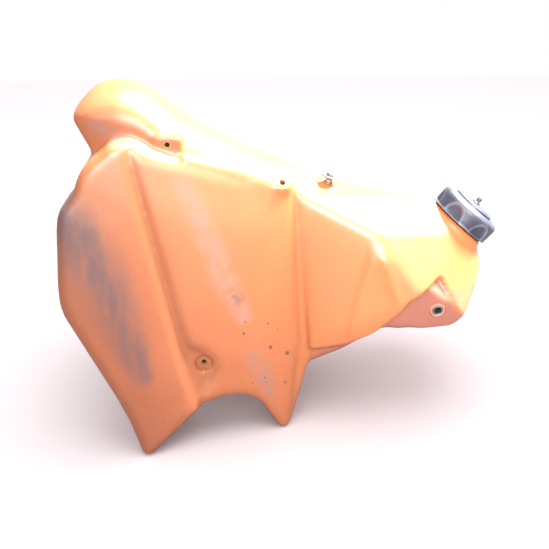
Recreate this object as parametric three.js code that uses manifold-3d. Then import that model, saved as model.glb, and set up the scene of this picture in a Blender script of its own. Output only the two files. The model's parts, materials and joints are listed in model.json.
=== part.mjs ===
// Fuel tank of an off-road motorcycle, standing on the tips of its two side wings.
// Millimetres, +Z up. The front of the tank points to +X, the bike's right-hand side is -Y,
// and the tank is symmetric about the plane y = 0.
import * as THREE from 'three';
import { ConvexGeometry } from 'three/addons/geometries/ConvexGeometry.js';
import { mergeVertices } from 'three/addons/utils/BufferGeometryUtils.js';
import Module from 'manifold-3d';

const wasm = await Module();
wasm.setup();

// ---------------------------------------------------------------- driving dimensions
const WALL = 5;              // moulded wall of the tank
const GAP = 0.3;             // clearance between pieces that touch
const CUT = 3;               // how far a cutting shape runs past the face it cuts
const BORE_SIDES = 16;       // facets of the small round parts
const ROUND_SIDES = 40;      // facets of the filler neck and its cap
const FAR = 300;             // a distance outside the whole tank

// Outer face of a wing: its distance from the middle plane at (x, z).
const WING_FACE = { half: 98.5, perX: -0.253, perZ: -0.192 };
const WING_ROUND = 6;

// Frame tunnel between the wings: half width at its roof, and its roof line in XZ.
const TUNNEL = { half: 36, flare: 0.13, rear: [-200, 322], front: [92, 110] };

const GROOVE_DEPTH = 6;
const POCKET_FACE = 80;      // distance of a front mounting face from the middle plane

// Filler neck; heights run along the neck axis from the plane of the cap's lower rim.
const NECK = {
  point: [204, 0, 223], lean: 39, radius: 30, bore: 25, rim: 15.5, collar: 35.5, collarTop: -1.5,
  root: -26, platform: 36, platformHeight: -9, platformSides: 12, shaftEnd: -75,
};
const THREAD = { pitch: 4, crest: 1.9, reach: 0.9, thickness: 1.3, turns: 2.25, start: 3.5 };
const CAP = {
  radius: 38, bore: 33.4, roof: 19.2, side: 17.5, shoulder: 22.5, discSeat: 22, disc: 25, discTop: 28,
  ventBore: 4.1, lobes: 6, gripRadius: 35, gripDepth: 3.4, foot: 1.6,
};
const GASKET_OUTSIDE = 32.4;
const NIPPLE = { flange: 16.4, flangeRadius: 7, stem: 3.8, tube: 2.4, barb: 3.1, top: 35, bore: 1.4 };
const BALL = { radius: 2.9, cageFloor: 8.6, cageRadius: 6, cageHole: 1.5, cageInside: 4 };

// Threaded M6 brass inserts, moulded in behind a thin lip. Points and axes are the left-hand ones.
const INSERT = { radius: 5.2, bore: 2.6, length: 13, lip: 1.5, mouth: 3.6, boss: 9.5, bossDepth: 20 };
const INSERTS = {
  wing_insert: { point: [-98, 96, 99], axis: [0, 1, 0] },
  tail_insert_rear: { point: [-124.7, 54.5, 335], axis: [0, 1, 0] },
  tail_insert_front: { point: [-8, 43, 289.5], axis: [0, 0.5, 0.866] },
};
const FRONT_MOUNT = { point: [165, POCKET_FACE, 149], hole: 9.1, depth: 15, boss: 13 };
const BUSH = { bore: 4.2, radius: 6, length: 12, grommetProud: 1.2, bushProud: 1.8 };

const STUD = { point: [46.5, 0, 272.5], lean: 17, boss: 9, bolt: 2.3, clearance: 3.2, washer: 9.8 };

// Fuel tap on the inner side of the left wing; heights run outward from the wing's inner face.
const TAP = { point: [-125, 50, 100], holeRadius: 8, screwAt: 19, padLength: 56, padWidth: 32 };
const TAP_FLANGE = { thickness: 5, from: 2.1, width: 28, length: 52, hole: 2.8 };
const BARREL = { radius: 13.5, top: 20, bore: 9, floor: 10, inlet: 5, inletTube: 7.6 };
const ROTOR = { radius: 8.6, from: 10.4, to: 19, stem: 4.8, handleAt: 27 };
const SPIGOT = { height: 14.9, radius: 4.2, bore: 2.4, length: 34 };
const PLATE = { bore: 5.2, top: 21.8, screwAt: 11.3, hole: 1.4 };

// ---------------------------------------------------------------- materials
function finish(hex, roughness, metalness = 0) {
  return new THREE.MeshStandardMaterial({ color: hex, roughness, metalness });
}

const FINISH = {
  shell: finish(0xe98a4a, 0.5),
  blackPlastic: finish(0x24252b, 0.45),
  rubber: finish(0x1c1c1d, 0.85),
  brass: finish(0xb08d4f, 0.4, 1),
  steel: finish(0x9a9ca0, 0.35, 1),
  castAlloy: finish(0xa9abad, 0.55, 1),
  mesh: finish(0xd8d6c8, 0.6),
};

// ---------------------------------------------------------------- solids
function solid(geometry) {
  const bare = geometry.clone();
  bare.deleteAttribute('normal');
  bare.deleteAttribute('uv');
  const merged = mergeVertices(bare, 1e-4);
  return new wasm.Manifold(new wasm.Mesh({
    numProp: 3,
    vertProperties: new Float32Array(merged.attributes.position.array),
    triVerts: new Uint32Array(merged.index.array),
  }));
}

function geometryOf(body) {
  const mesh = body.getMesh();
  const geometry = new THREE.BufferGeometry();
  const position = new THREE.BufferAttribute(new Float32Array(mesh.vertProperties), 3);
  geometry.setAttribute('position', position);
  geometry.setIndex(new THREE.BufferAttribute(new Uint32Array(mesh.triVerts), 1));
  return geometry;
}

function joined(bodies) {
  return bodies.reduce((whole, body) => whole.add(body));
}

function bothSides(body) {
  return body.add(body.mirror([0, 1, 0]));
}

function outlineShape(points) {
  return new THREE.Shape(points.map(([x, z]) => new THREE.Vector2(x, z)));
}

// A plate whose outline lies in XZ and whose two faces follow nearY(x, z) and farY(x, z),
// with rounded rims; inset > 0 draws the outline in by that much.
function slab(outline, nearY, farY, round, inset = 0, roundSteps = 2) {
  const span = 1000;
  const geometry = new THREE.ExtrudeGeometry(outlineShape(outline), {
    depth: span - 2 * round,
    bevelThickness: round,
    bevelSize: round,
    bevelOffset: -round - inset,
    bevelSegments: roundSteps,
    steps: 1,
    curveSegments: 1,
  });
  const position = geometry.attributes.position;
  for (let i = 0; i < position.count; i += 1) {
    const x = position.getX(i);
    const z = position.getY(i);
    const along = position.getZ(i) + round;
    const from = farY(x, z);
    const to = nearY(x, z);
    const y = along <= round ? from - along
      : along >= span - round ? to + (span - along)
        : from + (to - from) * (along / span);
    position.setXYZ(i, x, y, z);
  }
  return solid(geometry);
}

function symmetricSlab(outline, half, round, inset = 0, roundSteps = 2) {
  return slab(outline, (x, z) => -half(x, z), half, round, inset, roundSteps);
}

// A prism between two planes of constant y.
function prism(outline, fromY, toY) {
  const geometry = new THREE.ExtrudeGeometry(outlineShape(outline), {
    depth: toY - fromY, bevelEnabled: false, steps: 1,
  });
  geometry.rotateX(Math.PI / 2);
  geometry.translate(0, toY, 0);
  return solid(geometry);
}

function hull(points) {
  return solid(new ConvexGeometry(points.map(([x, y, z]) => new THREE.Vector3(x, y, z))));
}

function symmetricHull(points) {
  return hull([...points, ...points.map(([x, y, z]) => [x, -y, z])]);
}

// A turned piece about +Z; the profile is a closed list of [radius, height].
function turned(profile, sides = BORE_SIDES) {
  const closed = [...profile, profile[0]].map(([r, h]) => new THREE.Vector2(r, h));
  const geometry = new THREE.LatheGeometry(closed, sides);
  geometry.rotateX(Math.PI / 2);
  return outward(solid(geometry), geometry);
}

function outward(body, geometry) {
  if (body.volume() > 0) {
    return body;
  }
  const flipped = geometry.clone();
  const index = flipped.index;
  for (let i = 0; i < index.count; i += 3) {
    const first = index.getX(i);
    index.setX(i, index.getX(i + 1));
    index.setX(i + 1, first);
  }
  return solid(flipped);
}

function ring(inner, outer, from, to, sides = BORE_SIDES) {
  return turned([[inner, from], [outer, from], [outer, to], [inner, to]], sides);
}

function rod(radius, from, to, sides = BORE_SIDES) {
  const geometry = new THREE.CylinderGeometry(radius, radius, to - from, sides);
  geometry.rotateX(Math.PI / 2);
  geometry.translate(0, 0, (from + to) / 2);
  return solid(geometry);
}

function box(size, centre) {
  const geometry = new THREE.BoxGeometry(...size);
  geometry.translate(...centre);
  return solid(geometry);
}

function hexagon(acrossFlats, from, to) {
  return rod(acrossFlats / Math.sqrt(3), from, to, 6);
}

// ---------------------------------------------------------------- placing
// A frame at a point whose +Z axis looks along the given direction.
function placeAt(point, direction) {
  const up = new THREE.Vector3(...direction).normalize();
  const turn = new THREE.Quaternion().setFromUnitVectors(new THREE.Vector3(0, 0, 1), up);
  return new THREE.Matrix4().compose(new THREE.Vector3(...point), turn, new THREE.Vector3(1, 1, 1));
}

function moved(body, matrix) {
  return body.transform(matrix.elements);
}

// The tank is built about the bike's own reference and shifted so that x = 0 is its mid-length.
const CENTRE_X = 3.4;
const tank = new THREE.Group();
tank.position.x = -CENTRE_X;

function addPiece(name, body, material, matrix = new THREE.Matrix4()) {
  const piece = new THREE.Mesh(geometryOf(body), material.clone());
  piece.name = name;
  matrix.decompose(piece.position, piece.quaternion, piece.scale);
  tank.add(piece);
}

// ---------------------------------------------------------------- outlines in XZ
const WING_OUTLINE = [
  [-197, 325], [-209, 312], [-217, 297], [-231, 281], [-236, 262], [-239, 204], [-237, 178], [-205, 104],
  [-171, 0], [-158, 0], [-110, 40], [-97, 51], [-78, 54], [-58, 52], [-44, 46], [-34, 36],
  [-12, 0], [0, 0], [9, 95], [22, 110], [22, 270], [-5, 282], [-68, 305], [-140, 329], [-163, 340],
  [-181, 339],
];

// Tail: arched cross-sections from the rear tip forward.
const TAIL_SECTIONS = [
  { x: -216, crest: 368, half: 49, drop: 4, base: 359 },
  { x: -206, crest: 379, half: 51, drop: 16, base: 342 },
  { x: -194, crest: 385, half: 52, drop: 26, base: 318 },
  { x: -172, crest: 388, half: 53, drop: 32, base: 300 },
  { x: -150, crest: 381, half: 53, drop: 32, base: 300 },
  { x: -134, crest: 367, half: 53, drop: 30, base: 300 },
  { x: -112, crest: 348, half: 53, drop: 26, base: 290 },
  { x: -68, crest: 325, half: 52, drop: 20, base: 270 },
  { x: -33, crest: 305, half: 50, drop: 14, base: 250 },
  { x: 3, crest: 290, half: 44, drop: 12, base: 240 },
  { x: 26, crest: 272, half: 38, drop: 8, base: 230 },
];

// Front part: points of the right-hand half, mirrored to the left.
const FRONT_POINTS = [
  [10, -40, 274], [34, -32, 267], [10, 0, 275], [90, -64.5, 238], [145, -90, 173], [170, 0, 248],
  [190, -89, 139], [206, -70, 150], [220, -45, 165], [228, -25, 177], [233, 0, 184],
  [186, -86, 128], [225, 0, 160], [10, -76, 97], [21, -75, 97], [10, -70, 73], [22, -68, 73],
  [120, -86, 138],
];

const FRONT_UNDERCUT = [
  [-10, 73], [22, 73], [63, 97], [85, 113], [106, 126], [188, 129], [232, 168], [FAR, 168], [FAR, 0],
  [-10, 0],
];

const GROOVE_REAR = [
  [-170, 360], [-163, 323], [-111, 45], [-96, 28], [-86, 40], [-101, 58], [-89, 75],
  [-83, 89], [-86, 102], [-96, 116], [-113, 125], [-119, 142], [-155, 320], [-159, 360],
];

const GROOVE_FRONT = [[-2, 310], [9, 95], [9, 50], [22, 50], [22, 96], [8, 310]];

const POCKET = [
  [166, 185], [146, 175], [130, 157], [105, 131], [96, 110], [212, 110], [196, 126], [188, 143],
];

// ---------------------------------------------------------------- tank shell
function wingHalf(x, z) {
  return WING_FACE.half + WING_FACE.perX * x + WING_FACE.perZ * z;
}

function tunnelRoof(x) {
  const slope = (TUNNEL.front[1] - TUNNEL.rear[1]) / (TUNNEL.front[0] - TUNNEL.rear[0]);
  return TUNNEL.rear[1] + slope * (x - TUNNEL.rear[0]);
}

function tunnelHalf(x, z) {
  return TUNNEL.half + TUNNEL.flare * Math.max(0, tunnelRoof(x) - z);
}

function tunnel(grow) {
  const outline = [
    [-FAR, -50], [150, -50], [150, tunnelRoof(150) + grow], [-FAR, tunnelRoof(-FAR) + grow],
  ];
  return symmetricSlab(outline, (x, z) => tunnelHalf(x, z) + grow, 1, 0, 1);
}

// Pieces between neighbouring arched sections, drawn in by inset.
function archLoft(sections, inset) {
  const pieces = [];
  for (let i = 0; i + 1 < sections.length; i += 1) {
    const ends = [sections[i], sections[i + 1]];
    pieces.push(symmetricHull(ends.flatMap((section) => archPoints(section, inset))));
  }
  return joined(pieces);
}

function archPoints({ x, crest, half, drop, base }, inset) {
  const top = crest - inset;
  const wide = half - inset;
  return [
    [x, 0, top], [x, 0.45 * wide, top - 0.1 * drop], [x, 0.8 * wide, top - 0.4 * drop],
    [x, wide, top - drop], [x, wide, Math.min(base + inset, top - drop)],
  ];
}

function leaning(degrees) {
  const angle = THREE.MathUtils.degToRad(degrees);
  return [Math.sin(angle), 0, Math.cos(angle)];
}

const neckFrame = placeAt(NECK.point, leaning(NECK.lean));
const studFrame = placeAt(STUD.point, leaning(STUD.lean));
const tapFrame = placeAt(TAP.point, [0, -1, 0]);

// A frame on one side for a left-hand point and axis; side is -1 on the right and 1 on the left.
function sideFrame([x, y, z], [axisX, axisY, axisZ], side) {
  return placeAt([x, side * y, z], [axisX, side * axisY, axisZ]);
}

function insertFrame(name, side) {
  return sideFrame(INSERTS[name].point, INSERTS[name].axis, side);
}

function frontFrame(side) {
  return sideFrame(FRONT_MOUNT.point, [0, 1, 0], side);
}

const SIDES = { right: -1, left: 1 };

function neckRing() {
  const points = [];
  for (let i = 0; i < NECK.platformSides; i += 1) {
    const angle = (i / NECK.platformSides) * 2 * Math.PI;
    const point = new THREE.Vector3(
      NECK.platform * Math.cos(angle), NECK.platform * Math.sin(angle), NECK.platformHeight,
    );
    points.push(point.applyMatrix4(neckFrame).toArray());
  }
  return points;
}

function frontBody(inset) {
  const centre = new THREE.Vector3(115, 0, 190);
  const shrink = 1 - inset / 75;
  const points = [...FRONT_POINTS, ...neckRing()].map((point) => (
    new THREE.Vector3(...point).sub(centre).multiplyScalar(shrink).add(centre).toArray()
  ));
  const undercut = prism(FRONT_UNDERCUT.map(([x, z]) => [x - inset / 2, z + inset]), -FAR, FAR);
  return symmetricHull(points).subtract(undercut);
}

function pockets(grow) {
  return bothSides(prism(POCKET, -FAR, grow - POCKET_FACE));
}

function grooves(grow) {
  const outside = (x, z) => -wingHalf(x, z) - 8 * CUT;
  const floor = (x, z) => GROOVE_DEPTH + grow - wingHalf(x, z);
  return bothSides(slab(GROOVE_REAR, outside, floor, 1, -grow, 1).add(
    slab(GROOVE_FRONT, outside, floor, 1, -grow, 1),
  ));
}

// Solid material around every insert, bush and flange, outside and inside the wall.
function bosses() {
  const parts = [
    moved(rod(STUD.boss, -INSERT.bossDepth, 0), studFrame),
    moved(box([TAP.padWidth, TAP.padLength, 22], [0, 0, -11]), tapFrame),
  ];
  for (const side of Object.values(SIDES)) {
    for (const name of Object.keys(INSERTS)) {
      parts.push(moved(rod(INSERT.boss, -INSERT.bossDepth, 0), insertFrame(name, side)));
    }
    parts.push(moved(rod(FRONT_MOUNT.boss, -INSERT.bossDepth, 0), frontFrame(side)));
  }
  return joined(parts);
}

function insertHole() {
  return rod(INSERT.mouth, -INSERT.lip - 1, 4 * CUT).add(
    rod(INSERT.radius + GAP, -INSERT.lip - INSERT.length - 2 * GAP, -INSERT.lip),
  );
}

// Everything cut from outside to receive the fitted pieces.
function fittings() {
  const parts = [
    moved(insertHole(), studFrame),
    moved(rod(TAP.holeRadius, -30, CUT), tapFrame),
  ];
  for (const end of [-1, 1]) {
    parts.push(moved(insertHole(), tapFrame.clone().multiply(shift(0, end * TAP.screwAt, 0))));
  }
  for (const side of Object.values(SIDES)) {
    for (const name of Object.keys(INSERTS)) {
      parts.push(moved(insertHole(), insertFrame(name, side)));
    }
    parts.push(moved(rod(INSERT.boss, 0, 30), insertFrame('wing_insert', side)));
    parts.push(moved(rod(FRONT_MOUNT.hole, -FRONT_MOUNT.depth, CUT), frontFrame(side)));
  }
  return joined(parts);
}

function shift(x, y, z) {
  return new THREE.Matrix4().makeTranslation(x, y, z);
}

// A screw thread rib about +Z: a box bent into a helix.
function threadRib(inner, outer, from, turns) {
  const steps = Math.round(turns * BORE_SIDES);
  const geometry = new THREE.BoxGeometry(1, 1, 1, steps, 1, 1);
  const position = geometry.attributes.position;
  for (let i = 0; i < position.count; i += 1) {
    const angle = (position.getX(i) + 0.5) * turns * 2 * Math.PI;
    const radius = mix(inner, outer, position.getY(i) + 0.5);
    const height = from + THREAD.pitch * (angle / (2 * Math.PI)) - position.getZ(i) * THREAD.thickness;
    position.setXYZ(i, radius * Math.cos(angle), radius * Math.sin(angle), height);
  }
  return solid(geometry);
}

function mix(a, b, t) {
  return a + (b - a) * t;
}

function neckOutside() {
  return joined([
    rod(NECK.collar, NECK.root, NECK.collarTop, ROUND_SIDES),
    rod(NECK.radius, NECK.root, NECK.rim, ROUND_SIDES),
    threadRib(NECK.radius - 1, NECK.radius + THREAD.crest, THREAD.start, THREAD.turns),
  ]);
}

function tankShell() {
  const outside = joined([
    symmetricSlab(WING_OUTLINE, wingHalf, WING_ROUND),
    archLoft(TAIL_SECTIONS, 0),
    frontBody(0),
  ]).subtract(tunnel(0)).subtract(grooves(0)).subtract(pockets(0));
  const inside = joined([
    symmetricSlab(WING_OUTLINE, (x, z) => wingHalf(x, z) - WALL, 1.5, WALL, 1),
    archLoft(TAIL_SECTIONS, WALL),
    frontBody(WALL),
  ]).subtract(tunnel(WALL)).subtract(grooves(WALL)).subtract(pockets(WALL)).subtract(bosses());
  const neckBore = moved(rod(NECK.bore, NECK.shaftEnd, NECK.rim + CUT, ROUND_SIDES), neckFrame);
  return outside
    .add(bosses())
    .add(moved(neckOutside(), neckFrame))
    .subtract(inside)
    .subtract(neckBore)
    .subtract(fittings());
}

addPiece('tank_shell', tankShell(), FINISH.shell);

// ---------------------------------------------------------------- inserts and front mounts
for (const [sideName, side] of Object.entries(SIDES)) {
  for (const name of Object.keys(INSERTS)) {
    addPiece(`${name}_${sideName}`, brassInsert(), FINISH.brass, insertFrame(name, side));
  }
  const grommet = ring(BUSH.radius + GAP, FRONT_MOUNT.hole - GAP, GAP - BUSH.length, BUSH.grommetProud);
  const bush = ring(BUSH.bore, BUSH.radius, GAP - BUSH.length, BUSH.bushProud);
  addPiece(`front_grommet_${sideName}`, grommet, FINISH.rubber, frontFrame(side));
  addPiece(`front_bush_${sideName}`, bush, FINISH.steel, frontFrame(side));
}

function brassInsert() {
  return ring(INSERT.bore, INSERT.radius, -INSERT.lip - INSERT.length, -INSERT.lip - GAP);
}

// ---------------------------------------------------------------- seat stud
addPiece('stud_insert', brassInsert(), FINISH.brass, studFrame);
const stud = {
  collar: turned([
    [STUD.clearance, GAP], [5.6, GAP], [5.6, 1.8], [3.9, 2.6], [3.9, 5.4], [5, 6.6], [5, 7.4],
    [STUD.clearance, 7.4],
  ]),
  washer: ring(STUD.clearance, STUD.washer, 7.7, 9.2),
  bolt: rod(STUD.bolt, -11, 10).add(hexagon(9, 9.5, 12.6)),
};
for (const [name, body] of Object.entries(stud)) {
  addPiece(`stud_${name}`, body, FINISH.steel, studFrame);
}

// ---------------------------------------------------------------- filler cap
function capShell() {
  let body = turned([
    [CAP.bore, 0], [CAP.radius, 0], [CAP.radius, CAP.side], [CAP.radius - 1.2, CAP.shoulder - 1.5],
    [CAP.radius - 4, CAP.shoulder], [CAP.disc + GAP, CAP.discSeat + 2.4], [CAP.disc + GAP, CAP.discSeat],
    [CAP.ventBore, CAP.discSeat], [CAP.ventBore, CAP.roof], [CAP.bore, CAP.roof],
  ], ROUND_SIDES);
  for (let i = 0; i < CAP.lobes; i += 1) {
    const angle = ((i + 0.5) / CAP.lobes) * 2 * Math.PI;
    const distance = CAP.radius - CAP.gripDepth + CAP.gripRadius;
    const grip = solid(new THREE.SphereGeometry(CAP.gripRadius, 36, 18));
    body = body.subtract(moved(grip, shift(distance * Math.cos(angle), distance * Math.sin(angle), 0)));
  }
  const foot = ring(CAP.bore, CAP.radius, 0, CAP.foot, ROUND_SIDES);
  const rib = threadRib(
    NECK.radius + THREAD.reach, CAP.bore + 1, THREAD.start + THREAD.pitch / 2, THREAD.turns,
  );
  return body.add(foot).add(rib);
}

addPiece('cap_shell', capShell(), FINISH.blackPlastic, neckFrame);
addPiece('cap_top_disc', turned([
  [CAP.ventBore, CAP.discSeat + GAP], [CAP.disc, CAP.discSeat + GAP], [CAP.disc, CAP.discTop - 2.6],
  [CAP.disc - 3, CAP.discTop - 0.6], [CAP.disc - 6, CAP.discTop], [CAP.ventBore, CAP.discTop],
], ROUND_SIDES), FINISH.blackPlastic, neckFrame);
const gasket = ring(NECK.bore + 0.5, GASKET_OUTSIDE, NECK.rim + GAP, CAP.roof - GAP, ROUND_SIDES);
addPiece('cap_gasket', gasket, FINISH.rubber, neckFrame);
addPiece('cap_nipple', turned([
  [NIPPLE.bore, NIPPLE.flange], [NIPPLE.flangeRadius, NIPPLE.flange],
  [NIPPLE.flangeRadius, CAP.roof - GAP], [NIPPLE.stem, CAP.roof - GAP],
  [NIPPLE.stem, CAP.discTop + 1.2], [NIPPLE.tube, CAP.discTop + 1.8],
  [NIPPLE.tube, NIPPLE.top - 3.2], [NIPPLE.barb, NIPPLE.top - 2.8],
  [NIPPLE.tube, NIPPLE.top], [NIPPLE.bore, NIPPLE.top],
]), FINISH.blackPlastic, neckFrame);
addPiece('vent_cage', turned([
  [BALL.cageHole, BALL.cageFloor - 1.8], [BALL.cageRadius, BALL.cageFloor - 1.8],
  [BALL.cageRadius, NIPPLE.flange - GAP], [BALL.cageInside, NIPPLE.flange - GAP],
  [BALL.cageInside, BALL.cageFloor], [BALL.cageHole, BALL.cageFloor],
]), FINISH.blackPlastic, neckFrame);

// The ball rests on the edge of the cage's hole.
const ballRest = BALL.cageFloor + Math.sqrt(BALL.radius ** 2 - BALL.cageHole ** 2) + GAP;
const ball = moved(solid(new THREE.SphereGeometry(BALL.radius, 16, 12)), shift(0, 0, ballRest));
addPiece('vent_ball', ball, FINISH.steel, neckFrame);

// ---------------------------------------------------------------- fuel tap
// A flange of the tap's outline with a middle hole, two screw holes.
function flangePlate(from, to, hole) {
  let plate = box([TAP_FLANGE.width, TAP_FLANGE.length, to - from], [0, 0, (from + to) / 2]);
  plate = plate.subtract(rod(hole, from - CUT, to + CUT));
  for (const end of [-1, 1]) {
    const screwHole = rod(TAP_FLANGE.hole, from - CUT, to + CUT);
    plate = plate.subtract(moved(screwHole, shift(0, end * TAP.screwAt, 0)));
  }
  return plate;
}

function withPlateScrewHoles(body, radius, from, to) {
  let drilled = body;
  for (const end of [-1, 1]) {
    drilled = drilled.subtract(moved(rod(radius, from, to, 12), shift(end * PLATE.screwAt, 0, 0)));
  }
  return drilled;
}

function tapBody() {
  const flangeTop = TAP_FLANGE.from + TAP_FLANGE.thickness;
  const spigotTurn = placeAt([0, 0, SPIGOT.height], [0, -1, 0]);
  const body = joined([
    flangePlate(TAP_FLANGE.from, flangeTop, BARREL.inlet),
    ring(BARREL.inlet, BARREL.radius, TAP_FLANGE.from, BARREL.floor),
    ring(BARREL.bore, BARREL.radius, BARREL.floor - 1, BARREL.top),
    ring(BARREL.inlet, BARREL.inletTube, -8, TAP_FLANGE.from + 1),
    moved(rod(SPIGOT.radius, BARREL.bore + 1, SPIGOT.length), spigotTurn),
  ]).subtract(moved(rod(SPIGOT.bore, BARREL.bore - 2, SPIGOT.length + CUT), spigotTurn));
  return withPlateScrewHoles(body, PLATE.hole - 0.1, BARREL.radius, BARREL.top + CUT);
}

function tapLever() {
  const handle = box([10, 38, 4], [0, -11, ROTOR.handleAt]);
  const port = rod(3.2, ROTOR.from - CUT, ROTOR.from + 5, 12);
  const drain = moved(rod(3.2, 0, 12, 12), placeAt([0, 0, SPIGOT.height], [0, -1, 0]));
  return joined([
    rod(ROTOR.radius, ROTOR.from, ROTOR.to),
    rod(ROTOR.stem, ROTOR.to - 1, ROTOR.handleAt - 1),
    handle,
  ]).subtract(port).subtract(drain);
}

const sealPlate = flangePlate(GAP, TAP_FLANGE.from - GAP, TAP.holeRadius);
const springWasher = ring(PLATE.bore, 8.4, ROTOR.to + GAP, BARREL.top - GAP);
const retainer = withPlateScrewHoles(
  ring(PLATE.bore, BARREL.radius, BARREL.top + GAP, PLATE.top),
  PLATE.hole, BARREL.top - CUT, PLATE.top + CUT,
);
const strainer = ring(BARREL.inlet, 6.2, -30, -8 - GAP).add(rod(6.2, -31.5, -29.9));
addPiece('tap_seal', sealPlate, FINISH.rubber, tapFrame);
addPiece('tap_body', tapBody(), FINISH.castAlloy, tapFrame);
addPiece('tap_lever', tapLever(), FINISH.blackPlastic, tapFrame);
addPiece('tap_wave_washer', springWasher, FINISH.steel, tapFrame);
addPiece('tap_plate', retainer, FINISH.steel, tapFrame);
addPiece('tap_strainer', strainer, FINISH.mesh, tapFrame);

const flangeScrew = rod(2.2, -10, 8).add(rod(4.4, 7.4, 10.1));
const plateScrew = rod(1, 14, 23, 12).add(rod(2.1, 22.1, 24, 12));
for (const [name, end] of [['upper', 1], ['lower', -1]]) {
  const screwFrame = tapFrame.clone().multiply(shift(0, end * TAP.screwAt, 0));
  const plateFrame = tapFrame.clone().multiply(shift(end * PLATE.screwAt, 0, 0));
  addPiece(`tap_insert_${name}`, brassInsert(), FINISH.brass, screwFrame);
  addPiece(`tap_screw_${name}`, flangeScrew, FINISH.steel, screwFrame);
  addPiece(`tap_plate_screw_${name}`, plateScrew, FINISH.steel, plateFrame);
}

export default tank;
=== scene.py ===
"""A moulded fuel tank of an off-road motorcycle, standing on its wing tips.

The tank's skin is worked out as a field of signed distances in millimetres on a grid, rounded like a
moulding, and meshed. Everything else is turned, swept or cut in mesh code, in metres, around the frame.
"""
import json
import math

import bmesh
import bpy
import numpy as np
import openvdb
from mathutils import Matrix, Vector


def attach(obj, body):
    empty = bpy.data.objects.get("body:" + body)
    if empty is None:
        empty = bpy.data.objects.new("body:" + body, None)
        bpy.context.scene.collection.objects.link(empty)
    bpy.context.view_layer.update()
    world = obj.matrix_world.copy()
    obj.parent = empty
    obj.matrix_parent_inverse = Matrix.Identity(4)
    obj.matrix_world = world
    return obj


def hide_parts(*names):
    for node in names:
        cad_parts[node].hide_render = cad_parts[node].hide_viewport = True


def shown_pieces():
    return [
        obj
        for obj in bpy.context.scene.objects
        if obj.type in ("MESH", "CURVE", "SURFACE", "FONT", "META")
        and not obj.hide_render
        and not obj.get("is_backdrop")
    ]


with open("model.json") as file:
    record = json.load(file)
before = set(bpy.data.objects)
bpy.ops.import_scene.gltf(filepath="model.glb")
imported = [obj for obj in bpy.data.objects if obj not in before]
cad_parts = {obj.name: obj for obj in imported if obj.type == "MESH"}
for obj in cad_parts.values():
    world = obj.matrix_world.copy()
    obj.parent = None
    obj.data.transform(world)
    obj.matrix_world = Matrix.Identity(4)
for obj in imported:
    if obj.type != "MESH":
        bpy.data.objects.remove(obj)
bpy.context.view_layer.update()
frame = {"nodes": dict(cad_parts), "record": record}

MM = 0.001
CENTRE_X = 3.4            # the row frame's x = 0 lies this far ahead of the bike's own reference, mm
SKIN_STEP = 2.5           # grid of the tank's skin, mm

# ---------------------------------------------------------------- camera
CAMERA = {"at": (-53.4, -685.2, 521.5), "turn": -3.0, "down": 28.0, "lens": 41.97}


def add_camera():
    """The photograph's viewpoint: looking along +Y, a little down."""
    turn = math.radians(CAMERA["turn"])
    down = math.radians(CAMERA["down"])
    right = Vector((math.cos(turn), math.sin(turn), 0))
    ahead = Vector((-math.sin(turn) * math.cos(down), math.cos(turn) * math.cos(down), -math.sin(down)))
    up = right.cross(ahead)
    data = bpy.data.cameras.new("camera")
    data.lens = CAMERA["lens"]
    data.sensor_width = 36
    data.clip_end = 50
    camera = bpy.data.objects.new("camera", data)
    turned = Matrix((right, up, -ahead)).transposed().to_4x4()
    camera.matrix_world = Matrix.Translation(Vector(CAMERA["at"]) * MM) @ turned
    bpy.context.scene.collection.objects.link(camera)
    bpy.context.scene.camera = camera


add_camera()

# ---------------------------------------------------------------- shape of the tank, in mm
# Outer face of a wing: its distance from the middle plane at (x, z).
FACE_HALF, FACE_PER_X, FACE_PER_Z = 98.5, -0.253, -0.192
FACE_SLANT = math.sqrt(1 + FACE_PER_X ** 2 + FACE_PER_Z ** 2)

WING_OUTLINE = [
    (-188, 334), (-197, 328), (-206, 320), (-212, 310), (-216, 299), (-222, 291), (-229, 285), (-233, 276),
    (-235, 264), (-237, 238), (-239.5, 208), (-239.5, 190), (-237, 177), (-231, 163), (-206, 105),
    (-194, 77), (-182, 45), (-172, 8), (-170, 0), (-159, 0), (-110, 40), (-97, 50), (-78, 54), (-58, 52),
    (-44, 46), (-34, 36), (-13, 0), (0, 0), (9, 95), (22, 110), (22, 270), (-5, 283), (-68, 306),
    (-140, 330), (-152, 338), (-163, 343), (-180, 341.5),
]

# Tail, section by section from the rear: x, crest height, half width, drop of the arch, underside.
TAIL = np.array([
    (-217, 367, 48, 8, 300), (-206, 379.5, 51, 17, 300), (-194, 386, 52, 27, 300),
    (-172, 388, 53, 32, 300), (-150, 381.5, 53, 32, 300), (-134, 368, 53, 30, 300),
    (-112, 348.5, 53, 26, 290), (-68, 326, 52, 20, 270), (-33, 306.5, 50, 14, 250),
    (3, 291, 44, 12, 240), (26, 271, 38, 8, 230),
])
ARCH_POWER = 2.4
TAIL_REAR, TAIL_FRONT = -217, 26
TAIL_EASE = 9             # how far along x the change between two sections is spread
TAIL_CUT = (-217, 360, 2.1)          # the tail's lower rear edge: a point and how steeply it falls forward

# Front part: points of the left-hand half.
FRONT_POINTS = [
    (10, 40, 274), (34, 32, 267), (10, 0, 275), (90, 64.5, 238), (145, 91, 173), (170, 0, 249),
    (191, 90, 139), (206, 71, 150), (221, 46, 165), (229, 26, 177), (234, 0, 185), (187, 87, 127),
    (225, 0, 160), (10, 77, 97), (21, 76, 97), (10, 71, 66), (22, 69, 66), (120, 87, 138),
]
FRONT_UNDERCUT = [(-10, 66), (22, 66), (63, 88), (85, 104), (106, 119), (188, 126), (232, 167), (300, 167)]
TUNNEL_HALF, TUNNEL_FLARE = 36, 0.13
TUNNEL_REAR, TUNNEL_FRONT = (-200, 322), (92, 110)

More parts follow.
